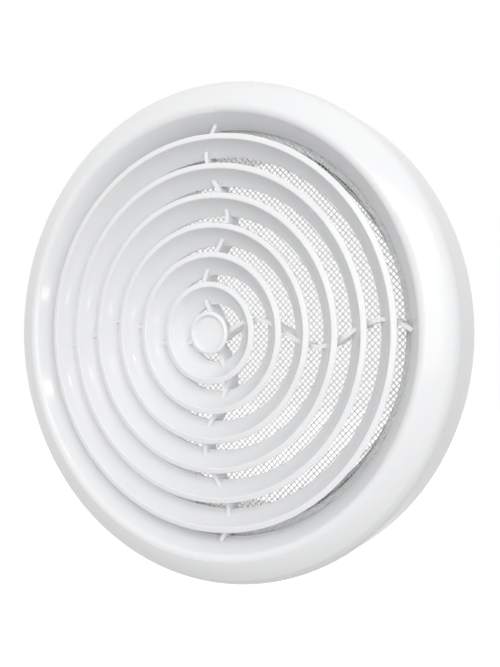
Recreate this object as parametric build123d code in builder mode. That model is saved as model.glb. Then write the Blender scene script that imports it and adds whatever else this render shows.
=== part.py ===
from build123d import *
import os
from math import cos, hypot, pi, radians, sin, sqrt

# Round vent cover with an insect screen, for a duct in a wall or ceiling.
# Millimetres. The axis lies along Y: the front looks towards -Y and +Z is up.
# The origin is the centre of the flat back that meets the wall, and the spigot runs on behind it.

# Rim of the front
rim_radius = 100.0
rim_wall = 2.0
rim_edge_round = 6.5
rim_edge_back = 2.57
rim_back_round = 1.5
edge_front_angle = 50.0
edge_back_angle = 45.0
flange_depth = 22.0
crest_radius = 88.2
crest_lead = 7.6
crest_round = 3.0
cone_bulge = 0.53
mouth_radius = 80.7
mouth_back = 2.0
funnel_bulge = 0.2

# Ring blades
ring_count = 6
outer_ring_radius = 78.9
ring_pitch = 11.66
ring_lead = 6.17
face_dome = 2.34
lip_width = 2.5
lip_rise = 0.7
lip_round = 0.5
blade_reach = 9.2
blade_depth = 6.4
blade_land = 1.8
blade_edge = 1.2
blade_hollow = 0.6

# Dished hub
hub_radius = 9.07
hub_lip_width = 1.9
hub_wall_run = 0.9
hub_dish_depth = 1.3
hub_floor_hollow = 0.25
hub_stem_radius = 3.2

# Wavy ribs
rib_count = 4
rib_thickness = 1.6
rib_setback = 4.7
rib_swing = 5.2
rib_half_wave = 26.5
rib_turn_radius = 71.2
rib_steps = 24

# Foot of the mouth, and the insect screen welded to it
foot_width = 3.8
foot_thickness = 1.4
foot_depth = 4.6
screen_hem = 7.0
screen_wall = 0.5
screen_angle = 45.0
thread_relief = 0.2
thread_width = 0.5
thread_pitch = 1.74
threads_per_bar = 2
threads_per_cell = 8

# Mounting base
band_radius = 98.2
band_wall = 2.0
band_edge_round = 0.6
plate_thickness = 2.0
spigot_radius = 74.5
spigot_wall = 1.5
spigot_length = 25.0
spigot_chamfer = 0.7
collar_height = 3.0
screw_circle_radius = 85.0
screw_count = 4
screw_hole_radius = 2.25
screw_head_radius = 4.5
screw_boss_radius = 6.5
screw_boss_height = 2.0
gusset_count = 12
gusset_reach = 7.0
gusset_thickness = 1.6

# Push fit of the front in the base
skirt_wall = 1.6
skirt_depth = 10.0
skirt_gap = 0.3
skirt_end_gap = 1.0
seat_gap = 0.3
slot_count = 8
slot_width = 3.0
slot_depth = 7.0

# Radii that follow from the sizes above
band_inner = band_radius - band_wall
skirt_outer = band_inner - skirt_gap
skirt_inner = skirt_outer - skirt_wall
spigot_inner = spigot_radius - spigot_wall
foot_outer = mouth_radius + foot_width
rib_end = mouth_radius + foot_width / 2
screen_clear = foot_outer - screen_hem
screen_thickness = screen_wall + 2 * thread_relief

# Planes along Y, from the wall face at 0
y_rim = -flange_depth
y_seat = y_rim + rim_edge_back + rim_back_round * sin(radians(edge_back_angle))
y_band = y_seat + seat_gap
y_skirt = y_seat + skirt_depth
y_mouth = y_rim + mouth_back
y_foot = y_rim + foot_depth
y_crest = y_rim - crest_lead
y_plate = -plate_thickness
y_boss = y_plate - screw_boss_height
y_gusset = y_skirt + skirt_end_gap
y_screen_wall = y_foot + thread_relief
y_screen_back = y_foot + screen_thickness


def lip_plane(radius):
    """Y of the domed face through the outer edges of the lips."""
    return y_rim - ring_lead - face_dome * (1 - (radius / outer_ring_radius) ** 2)


def rib_front(radius):
    """Y of the ribs' front, a little way behind the lips."""
    return lip_plane(radius) + rib_setback


def shifted(start, end, distance):
    """The line from start to end, moved to the left of its direction."""
    run_x, run_y = end[0] - start[0], end[1] - start[1]
    scale = distance / hypot(run_x, run_y)
    return [(x - run_y * scale, y + run_x * scale) for x, y in (start, end)]


def crossing(first, second):
    """The point where two lines meet."""
    (ax, ay), (bx, by) = first
    (cx, cy), (dx, dy) = second
    ux, uy, vx, vy = bx - ax, by - ay, dx - cx, dy - cy
    share = ((cx - ax) * vy - (cy - ay) * vx) / (ux * vy - uy * vx)
    return (ax + share * ux, ay + share * uy)


def bowed(start, end, rise):
    """The middle of a shallow arc that bulges to the left of its direction."""
    (ax, ay), (bx, by) = shifted(start, end, rise)
    return ((ax + bx) / 2, (ay + by) / 2)


def edge_point(angle, rounding):
    """A point of the rim's rounded edge, at an angle forward of straight outward."""
    turn = radians(angle)
    x = rim_radius - rounding + rounding * cos(turn)
    return (x, y_rim + rim_edge_back - rounding * sin(turn))


def round_corner(section, point, radius):
    """Round a section's corner that lies at a point."""
    fillet(section.vertices().sort_by_distance((point[0], point[1], 0))[0], radius=radius)


def front_plane(y, angle=0):
    """A plane that looks to the front at one Y, its X axis turned up by an angle."""
    turn = radians(angle)
    return Plane(origin=(0, y, 0), x_dir=(cos(turn), 0, sin(turn)), z_dir=(0, -1, 0))


def rib_edge(side):
    """Points along one edge of a rib, half a thickness from its wavy middle line."""
    start = hub_stem_radius / 2
    points = []
    for step in range(rib_steps + 1):
        radius = start + (rib_end - start) * step / rib_steps
        phase = pi * (radius - rib_turn_radius) / rib_half_wave
        slope = rib_swing * pi / rib_half_wave * sin(phase)
        reach = side * rib_thickness / 2 / hypot(1, slope)
        points.append((reach - rib_swing * cos(phase), radius - reach * slope))
    return points


# Corners of the rim shell
edge_front = edge_point(edge_front_angle, rim_edge_round)
edge_wide = edge_point(0, rim_edge_round)
edge_back = edge_point(-edge_back_angle, rim_back_round)
crest = (crest_radius, y_rim - crest_lead)
mouth = (mouth_radius, y_mouth)
cone_inside = shifted(crest, edge_front, rim_wall)
funnel_inside = shifted(mouth, crest, rim_wall)
skirt_root = crossing(cone_inside, [(skirt_inner, 0), (skirt_inner, 1)])
crest_inside = crossing(cone_inside, funnel_inside)
y_foot_front = y_foot - foot_thickness
foot_root = crossing(funnel_inside, [(0, y_foot_front), (1, y_foot_front)])

# Corners of the hub
hub_lip = (hub_radius, lip_plane(hub_radius))
hub_crease = (hub_radius - hub_lip_width, hub_lip[1] - lip_rise)
dish_edge = (hub_crease[0] - hub_wall_run, hub_crease[1] + hub_dish_depth)
dish_middle = (0, dish_edge[1] + hub_floor_hollow)

# One wavy rib, seen from the front
with BuildSketch() as rib_shape:
    with BuildLine():
        right_edge = Spline(*rib_edge(1))
        left_edge = Spline(*rib_edge(-1))
        Line(right_edge @ 0, left_edge @ 0)
        Line(right_edge @ 1, left_edge @ 1)
    make_face()

# The ribs together, with a domed front that follows the lips
with BuildPart() as ribs:
    with BuildSketch(front_plane(y_foot)):
        with PolarLocations(0, rib_count):
            add(rib_shape.sketch)
    extrude(amount=y_foot - y_crest)
    with BuildSketch(Plane.XY):
        with BuildLine():
            Polyline(
                (0, rib_front(0)),
                (0, lip_plane(0)),
                (rim_radius, lip_plane(0)),
                (rim_radius, rib_front(rim_radius)),
            )
            ThreePointArc(
                (rim_radius, rib_front(rim_radius)),
                (rim_radius / 2, rib_front(rim_radius / 2)),
                (0, rib_front(0)),
            )
        make_face()
    revolve(axis=Axis.Y, mode=Mode.SUBTRACT)

# Front: rim, rings, hub and ribs in one moulding
with BuildPart() as front_grille:
    # Rim shell with its push-fit skirt, funnel and foot
    with BuildSketch(Plane.XY) as rim_section:
        with BuildLine():
            Polyline(
                edge_back,
                (skirt_outer, y_seat),
                (skirt_outer, y_skirt),
                (skirt_inner, y_skirt),
                skirt_root,
                crest_inside,
                foot_root,
                (foot_outer, y_foot_front),
                (foot_outer, y_foot),
                (mouth_radius, y_foot),
                mouth,
            )
            ThreePointArc(mouth, bowed(mouth, crest, -funnel_bulge), crest)
            ThreePointArc(crest, bowed(crest, edge_front, -cone_bulge), edge_front)
            ThreePointArc(edge_front, edge_point(edge_front_angle / 2, rim_edge_round), edge_wide)
            ThreePointArc(edge_wide, edge_point(-edge_back_angle / 2, rim_back_round), edge_back)
        make_face()
        round_corner(rim_section, crest, crest_round)
    revolve(axis=Axis.Y)

    # Slots that let the skirt flex
    with BuildSketch(front_plane(y_skirt)):
        with PolarLocations((skirt_outer + skirt_inner) / 2, slot_count, start_angle=180 / slot_count):
            Rectangle(2 * skirt_wall, slot_width)
    extrude(amount=slot_depth, mode=Mode.SUBTRACT)

    # Ring blades: a lip in front, a hollow face that runs back and inward, and a short land
    for ring in range(ring_count):
        radius = outer_ring_radius - ring * ring_pitch
        lip = (radius, lip_plane(radius))
        crease = (radius - lip_width, lip[1] - lip_rise)
        face_end = (radius - blade_reach, lip[1] + blade_depth)
        land_end = (face_end[0], face_end[1] + blade_land)
        back_end = (land_end[0] + blade_edge, land_end[1])
        with BuildSketch(Plane.XY) as blade_section:
            with BuildLine():
                Line(lip, crease)
                ThreePointArc(crease, bowed(crease, face_end, -blade_hollow), face_end)
                Polyline(face_end, land_end, back_end)
                ThreePointArc(back_end, bowed(back_end, lip, blade_hollow), lip)
            make_face()
            round_corner(blade_section, lip, lip_round)
            round_corner(blade_section, crease, lip_round)
        revolve(axis=Axis.Y)

    # Dished hub on its stem
    with BuildSketch(Plane.XY) as hub_section:
        with BuildLine():
            Polyline(
                dish_middle,
                (0, y_foot),
                (hub_stem_radius, y_foot),
                (hub_stem_radius, rib_front(0)),
                hub_lip,
                hub_crease,
                dish_edge,
                dish_middle,
            )
        make_face()
        round_corner(hub_section, hub_lip, lip_round)
        round_corner(hub_section, hub_crease, lip_round)
        round_corner(hub_section, dish_edge, lip_round)
    revolve(axis=Axis.Y)

    # Wavy ribs that carry the rings
    add(ribs.part)

# Insect screen: a wall of crossed bars with square gaps, inside a thicker welded hem.
# Threads stand proud along the bars, one way in front and the other way behind.
cell = threads_per_cell * thread_pitch
gap_width = cell - threads_per_bar * thread_pitch
gap_reach = screen_clear - gap_width / sqrt(2)
cells_across = 2 * int(screen_clear / cell) + 2
cell_steps = [(index - (cells_across - 1) / 2) * cell for index in range(cells_across)]
gap_centres = [(x, y) for x in cell_steps for y in cell_steps if hypot(x, y) < gap_reach]
bar_lines = [(index - cells_across / 2) * cell for index in range(cells_across + 1)]
thread_places = [(index - (threads_per_bar - 1) / 2) * thread_pitch for index in range(threads_per_bar)]
thread_offsets = [bar + place for bar in bar_lines for place in thread_places]
long_offsets = [offset for offset in thread_offsets if abs(offset) < screen_clear - thread_pitch]

with BuildPart() as insect_screen:
    with BuildSketch(front_plane(y_screen_wall + screen_wall, screen_angle)):
        Circle(foot_outer)
        with Locations(*gap_centres):
            Rectangle(gap_width, gap_width, mode=Mode.SUBTRACT)
    extrude(amount=screen_wall)

    # Hem and threads: one way in front of the wall, and the other way behind it
    for y_back, angle in ((y_screen_wall, screen_angle), (y_screen_back, screen_angle + 90)):
        with BuildSketch(front_plane(y_back, angle)):
            Circle(foot_outer)
            Circle(screen_clear, mode=Mode.SUBTRACT)
            for offset in long_offsets:
                with Locations((0, offset)):
                    Rectangle(2 * sqrt(screen_clear**2 - offset**2) + thread_width, thread_width)
        extrude(amount=thread_relief)

# Mounting base: a band round a flat wall plate, and the spigot that goes into the duct
with BuildPart() as mounting_base:
    with BuildSketch(Plane.XY) as base_section:
        with BuildLine():
            Polyline(
                (band_radius, 0),
                (band_radius, y_band),
                (band_inner, y_band),
                (band_inner, y_plate),
                (spigot_radius, y_plate),
                (spigot_radius, y_plate - collar_height),
                (spigot_inner, y_plate - collar_height),
                (spigot_inner, spigot_length),
                (spigot_radius - spigot_chamfer, spigot_length),
                (spigot_radius, spigot_length - 2 * spigot_chamfer),
                (spigot_radius, 0),
                (band_radius, 0),
            )
        make_face()
        round_corner(base_section, (band_radius, 0), band_edge_round)
        round_corner(base_section, (band_radius, y_band), band_edge_round)
    revolve(axis=Axis.Y)

    # Gussets between the plate and the band, clear of the end of the skirt
    with BuildSketch(Plane.XY):
        Polygon((band_inner - gusset_reach, y_plate), (band_inner, y_plate), (band_inner, y_gusset))
    gusset = extrude(amount=gusset_thickness / 2, both=True, mode=Mode.PRIVATE)
    for index in range(gusset_count):
        add(gusset.rotate(Axis.Y, index * 360 / gusset_count))

    # Countersunk screw holes through raised pads
    with BuildSketch(front_plane(y_plate)):
        with PolarLocations(screw_circle_radius, screw_count, start_angle=180 / screw_count):
            Circle(screw_boss_radius)
    extrude(amount=screw_boss_height)
    with Locations(front_plane(y_boss)):
        with PolarLocations(screw_circle_radius, screw_count, start_angle=180 / screw_count):
            CounterSinkHole(screw_hole_radius, screw_head_radius, depth=plate_thickness + screw_boss_height)

os.makedirs("parts", exist_ok=True)
front_grille.part.label = "front_grille"
export_step(front_grille.part, "parts/front_grille.step")
insect_screen.part.label = "insect_screen"
export_step(insect_screen.part, "parts/insect_screen.step")
mounting_base.part.label = "mounting_base"
export_step(mounting_base.part, "parts/mounting_base.step")
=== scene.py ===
"""Looks for the round vent cover: glossy white plastic, a woven insect screen and a plain white studio.

Metres, in the CAD frame: the axis along Y, the front towards -Y, +Z up, and the wall face at Y = 0.
"""

import math

import bpy
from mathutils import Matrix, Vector


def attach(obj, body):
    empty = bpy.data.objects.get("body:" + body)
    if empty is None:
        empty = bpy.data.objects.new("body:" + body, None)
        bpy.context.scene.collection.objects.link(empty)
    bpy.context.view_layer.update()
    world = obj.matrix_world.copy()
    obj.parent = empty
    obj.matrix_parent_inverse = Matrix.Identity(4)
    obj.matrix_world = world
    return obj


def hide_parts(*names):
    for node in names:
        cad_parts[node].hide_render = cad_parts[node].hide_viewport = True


MM = 0.001

# Camera, fitted to the photograph
CAMERA_AT = (0.2583, -0.4516, 0.00165)
LOOK_AT = (0.01383, -0.022, -0.00016)
LENS_MM = 68.0
SENSOR_MM = 36.0
CLIP_START = 0.01

# Studio
FLOOR_Z = -0.45
FLOOR_SIZE = 12.0
FLOOR_TONE = 0.45
FLOOR_GLOW = 0.8
FLOOR_ROUGHNESS = 0.9
WORLD_LEVEL = 0.62
WHITE = (1, 1, 1, 1)

# A large soft key lamp, and two small ones that give the glints on the rim
KEY_FROM = (0.66, -1.3, 0.38)
KEY_SIZE = (1.4, 1.4)
KEY_POWER = 11.6
GLINTS_FROM = ((1.25, -0.73, 0.57), (1.25, -0.73, -0.43))
GLINT_SIZE = (0.03, 0.15)
GLINT_POWER = 0.5

# Moulded plastic
PLASTIC_DARK = (0.915, 0.92, 0.93)
PLASTIC_LIGHT = (0.935, 0.94, 0.95)
PLASTIC_ROUGHNESS = (0.1, 0.17)
PLASTIC_IOR = 1.47
# Painted shade: crevices within this reach are darkened towards this tone
PAINTED_SHADE_REACH = 3.0 * MM
PAINTED_SHADE_TONE = (0.72, 0.725, 0.735)
SKIN_STRENGTH = 0.12
SKIN_HEIGHT = 0.04 * MM

# Thread plastic
THREAD_DARK = (0.9, 0.905, 0.91)
THREAD_LIGHT = (0.96, 0.965, 0.97)
THREAD_ROUGHNESS = (0.4, 0.55)
THREAD_CLEARNESS = 0.75
HEM_CLEARNESS = 0.0

# Noise: how fine each one is, and how detailed
CLOUD_SCALE = 14.0
SHEEN_SCALE = 90.0
SKIN_SCALE = 2600.0
STREAK_SCALE = 900.0
NOISE_DETAIL = 3.0
SKIN_DETAIL = 2.0

# Woven screen
PITCH = 1.74 * MM
THREAD_RADIUS = 0.22 * MM
THREAD_SIDES = 6
POINTS_PER_CROSSING = 2
FEWEST_POINTS = 3
SCREEN_MIDDLE_Y = -16.95 * MM
MESH_RADIUS = 84.0 * MM
WARP_TURN = 45.0

# Hem that the threads are melted into
HEM_INNER = 77.6 * MM
HEM_OUTER = 84.4 * MM
HEM_FRONT_Y = -17.1 * MM
HEM_BACK_Y = -16.55 * MM
HEM_EDGE = 0.15 * MM
HEM_STEPS = 180

# Sockets of a colour Mix node, which shares its socket names with other types
MIX_VALUE = 0
MIX_DARK = 6
MIX_LIGHT = 7
MIX_COLOUR = 2


def node(tree, kind, **inputs):
    """Adds a shader node and sets its inputs by name."""
    made = tree.nodes.new(kind)
    for name, value in inputs.items():
        made.inputs[name.replace("_", " ")].default_value = value
    return made


def new_material(name):
    """A node material, its tree and its Principled shader."""
    material = bpy.data.materials.new(name)
    material.use_nodes = True
    return material, material.node_tree, material.node_tree.nodes["Principled BSDF"]


def noise(tree, scale, detail=NOISE_DETAIL):
    """Noise of a given scale, fixed to the object."""
    place = tree.nodes.new("ShaderNodeTexCoord")
    made = node(tree, "ShaderNodeTexNoise", Scale=scale, Detail=detail)
    tree.links.new(place.outputs["Object"], made.inputs["Vector"])
    return made.outputs["Fac"]


def ranged(tree, value, low, high):
    """Maps a 0 to 1 value to a range."""
    made = node(tree, "ShaderNodeMapRange", To_Min=low, To_Max=high)
    tree.links.new(value, made.inputs["Value"])
    return made.outputs["Result"]


def tinted(tree, value, dark, light):
    """Blends two colours by a value. The light one may come from another node."""
    made = tree.nodes.new("ShaderNodeMix")
    made.data_type = "RGBA"
    made.inputs[MIX_DARK].default_value = (*dark, 1)
    if isinstance(light, tuple):
        made.inputs[MIX_LIGHT].default_value = (*light, 1)
    else:
        tree.links.new(light, made.inputs[MIX_LIGHT])
    tree.links.new(value, made.inputs[MIX_VALUE])
    return made.outputs[MIX_COLOUR]


def bumped(tree, shader, height, strength, distance):
    """Adds a bump of a height to a shader."""
    made = node(tree, "ShaderNodeBump", Strength=strength, Distance=distance)
    tree.links.new(height, made.inputs["Height"])
    tree.links.new(made.outputs["Normal"], shader.inputs["Normal"])


def white_plastic():
    """Moulded plastic: slightly cloudy, a varied sheen, painted shade that darkens its grooves and
    crevices, and a very fine skin.
    """
    material, tree, shader = new_material("white_plastic")
    cloud = tinted(tree, noise(tree, CLOUD_SCALE), PLASTIC_DARK, PLASTIC_LIGHT)
    # Painted shade: ambient occlusion darkens the colour in grooves and crevices
    painted_shade = node(tree, "ShaderNodeAmbientOcclusion", Distance=PAINTED_SHADE_REACH)
    colour = tinted(tree, painted_shade.outputs["AO"], PAINTED_SHADE_TONE, cloud)
    tree.links.new(colour, shader.inputs["Base Color"])
    sheen = ranged(tree, noise(tree, SHEEN_SCALE), *PLASTIC_ROUGHNESS)
    tree.links.new(sheen, shader.inputs["Roughness"])
    bumped(tree, shader, noise(tree, SKIN_SCALE, SKIN_DETAIL), SKIN_STRENGTH, SKIN_HEIGHT)
    shader.inputs["IOR"].default_value = PLASTIC_IOR
    return material


def thread_plastic(name, clearness):
    """Drawn plastic, slightly streaked. The threads are clearer than the hem they melt into."""
    material, tree, shader = new_material(name)
    streak = noise(tree, STREAK_SCALE)
    colour = tinted(tree, streak, THREAD_DARK, THREAD_LIGHT)
    tree.links.new(colour, shader.inputs["Base Color"])
    tree.links.new(ranged(tree, streak, *THREAD_ROUGHNESS), shader.inputs["Roughness"])
    shader.inputs["Transmission Weight"].default_value = clearness
    return material


def seen_ray(tree):
    """Is 1 for what the camera sees, directly, in gloss or through a thread."""
    path = tree.nodes.new("ShaderNodeLightPath")
    result = path.outputs["Is Camera Ray"]
    for kind in ("Is Glossy Ray", "Is Transmission Ray"):
        larger = tree.nodes.new("ShaderNodeMath")
        larger.operation = "MAXIMUM"
        tree.links.new(result, larger.inputs[0])
        tree.links.new(path.outputs[kind], larger.inputs[1])
        result = larger.outputs["Value"]
    return result


def studio_white():
    """White floor that keeps a soft shadow and reads as white to the camera."""
    material, tree, shader = new_material("studio_white")
    shader.inputs["Base Color"].default_value = (FLOOR_TONE, FLOOR_TONE, FLOOR_TONE, 1)
    shader.inputs["Roughness"].default_value = FLOOR_ROUGHNESS
    shader.inputs["Emission Color"].default_value = WHITE
    glow = ranged(tree, seen_ray(tree), 0.0, FLOOR_GLOW)
    tree.links.new(glow, shader.inputs["Emission Strength"])
    return material


def mesh_piece(name, vertices, faces, material, smooth=True):
    """Makes a mesh object from points and faces."""
    mesh = bpy.data.meshes.new(name)
    mesh.from_pydata(vertices, [], faces)
    mesh.materials.append(material)
    mesh.validate()
    for polygon in mesh.polygons:
        polygon.use_smooth = smooth
    piece = bpy.data.objects.new(name, mesh)
    bpy.context.collection.objects.link(piece)
    return piece


def add_thread(vertices, faces, centres, side):
    """Adds one closed tube along a thread's centre line."""
    first = len(vertices)
    last = len(centres) - 1
    for index, centre in enumerate(centres):
        ahead = centres[min(index + 1, last)] - centres[max(index - 1, 0)]
        up = ahead.cross(side).normalized()
        for corner in range(THREAD_SIDES):
            turn = math.tau * corner / THREAD_SIDES
            vertices.append(centre + (side * math.cos(turn) + up * math.sin(turn)) * THREAD_RADIUS)
    for index in range(last):
        here = first + index * THREAD_SIDES
        beyond = here + THREAD_SIDES
        for corner in range(THREAD_SIDES):
            beside = (corner + 1) % THREAD_SIDES
            faces.append((here + corner, here + beside, beyond + beside, beyond + corner))
    end = first + last * THREAD_SIDES
    faces.append(tuple(first + corner for corner in reversed(range(THREAD_SIDES))))
    faces.append(tuple(end + corner for corner in range(THREAD_SIDES)))


def weave(name, turn, phase, material):
    """All the threads of one direction, which pass over and under the other's."""
    along = Vector((math.cos(turn), 0, math.sin(turn)))
    across = Vector((-math.sin(turn), 0, math.cos(turn)))
    vertices, faces = [], []
    count = int(MESH_RADIUS / PITCH)
    step = PITCH / POINTS_PER_CROSSING
    for row in range(-count, count + 1):
        offset = row * PITCH
        reach = int(math.sqrt(MESH_RADIUS**2 - offset**2) / step)
        centres = []
        for index in range(-reach, reach + 1):
            wave = math.cos(math.pi * (index / POINTS_PER_CROSSING + row + phase))
            place = along * (index * step) + across * offset
            centres.append(place + Vector((0, SCREEN_MIDDLE_Y + wave * THREAD_RADIUS, 0)))
        if len(centres) >= FEWEST_POINTS:
            add_thread(vertices, faces, centres, across)
    return mesh_piece(name, vertices, faces, material)


def ring_piece(name, section, steps, material):
    """Turns a closed section of radius and Y round the axis."""
    vertices, faces = [], []
    size = len(section)
    for step in range(steps):
        turn = math.tau * step / steps
        vertices += [(r * math.cos(turn), y, r * math.sin(turn)) for r, y in section]
        here = step * size
        ahead = (step + 1) % steps * size
        for corner in range(size):
            beside = (corner + 1) % size
            faces.append((here + corner, ahead + corner, ahead + beside, here + beside))
    return mesh_piece(name, vertices, faces, material)


def hem_section():
    """The welded hem: a flat band with eased edges."""
    return [
        (HEM_INNER + HEM_EDGE, HEM_FRONT_Y),
        (HEM_INNER, HEM_FRONT_Y + HEM_EDGE),
        (HEM_INNER, HEM_BACK_Y - HEM_EDGE),
        (HEM_INNER + HEM_EDGE, HEM_BACK_Y),
        (HEM_OUTER - HEM_EDGE, HEM_BACK_Y),
        (HEM_OUTER, HEM_BACK_Y - HEM_EDGE),
        (HEM_OUTER, HEM_FRONT_Y + HEM_EDGE),
        (HEM_OUTER - HEM_EDGE, HEM_FRONT_Y),
    ]


def aim(item, target):
    """Turns an object's view towards a point."""
    item.rotation_euler = (Vector(target) - item.location).to_track_quat("-Z", "Y").to_euler()


def add_camera():
    """The photograph's camera."""
    camera = bpy.data.objects.new("camera", bpy.data.cameras.new("camera"))
    camera.data.lens = LENS_MM
    camera.data.sensor_width = SENSOR_MM
    camera.data.clip_start = CLIP_START
    camera.location = CAMERA_AT
    aim(camera, LOOK_AT)
    bpy.context.collection.objects.link(camera)
    bpy.context.scene.camera = camera


def add_light(name, place, size, power):
    """A rectangular soft lamp, turned to the part."""
    lamp = bpy.data.lights.new(name, "AREA")
    lamp.shape = "RECTANGLE"
    lamp.size, lamp.size_y = size
    lamp.energy = power
    item = bpy.data.objects.new(name, lamp)
    item.location = place
    aim(item, (0, 0, 0))
    bpy.context.collection.objects.link(item)


def add_world():
    """Even white surroundings."""
    world = bpy.data.worlds.new("studio")
    world.use_nodes = True
    tree = world.node_tree
    background = tree.nodes["Background"]
    background.inputs["Color"].default_value = WHITE
    level = ranged(tree, seen_ray(tree), WORLD_LEVEL, 1.0)
    tree.links.new(level, background.inputs["Strength"])
    bpy.context.scene.world = world


def add_floor(material):
    """A wide floor well below the part."""
    half = FLOOR_SIZE / 2
    outline = ((-half, -half), (half, -half), (half, half), (-half, half))
    corners = [(x, y, FLOOR_Z) for x, y in outline]
    floor = mesh_piece("floor", corners, [(0, 1, 2, 3)], material, smooth=False)


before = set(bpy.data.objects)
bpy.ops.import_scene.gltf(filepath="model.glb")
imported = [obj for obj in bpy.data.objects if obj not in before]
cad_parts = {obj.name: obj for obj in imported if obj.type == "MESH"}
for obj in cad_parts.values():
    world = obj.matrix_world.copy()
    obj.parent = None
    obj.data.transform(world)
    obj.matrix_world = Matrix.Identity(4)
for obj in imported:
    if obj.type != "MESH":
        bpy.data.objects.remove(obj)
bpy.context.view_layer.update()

bpy.context.scene.view_settings.view_transform = "Standard"
add_camera()
add_world()
add_light("key", KEY_FROM, KEY_SIZE, KEY_POWER)
for glint_from in GLINTS_FROM:
    add_light("glint", glint_from, GLINT_SIZE, GLINT_POWER)
add_floor(studio_white())

# CAD plastic parts keep their shapes and take the finished material
plastic = white_plastic()
for name in ("front_grille", "mounting_base"):
    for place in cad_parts[name].material_slots:
        place.material = plastic

# Woven screen in place of the CAD screen
thread_material = thread_plastic("screen_thread", THREAD_CLEARNESS)
hem_material = thread_plastic("screen_hem", HEM_CLEARNESS)
warp = weave("screen_warp", math.radians(WARP_TURN), 0, thread_material)
weft = weave("screen_weft", math.radians(WARP_TURN + 90), 1, thread_material)
hem = ring_piece("screen_hem", hem_section(), HEM_STEPS, hem_material)
for piece in (warp, weft, hem):
    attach(piece, "front")
    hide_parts("insect_screen")
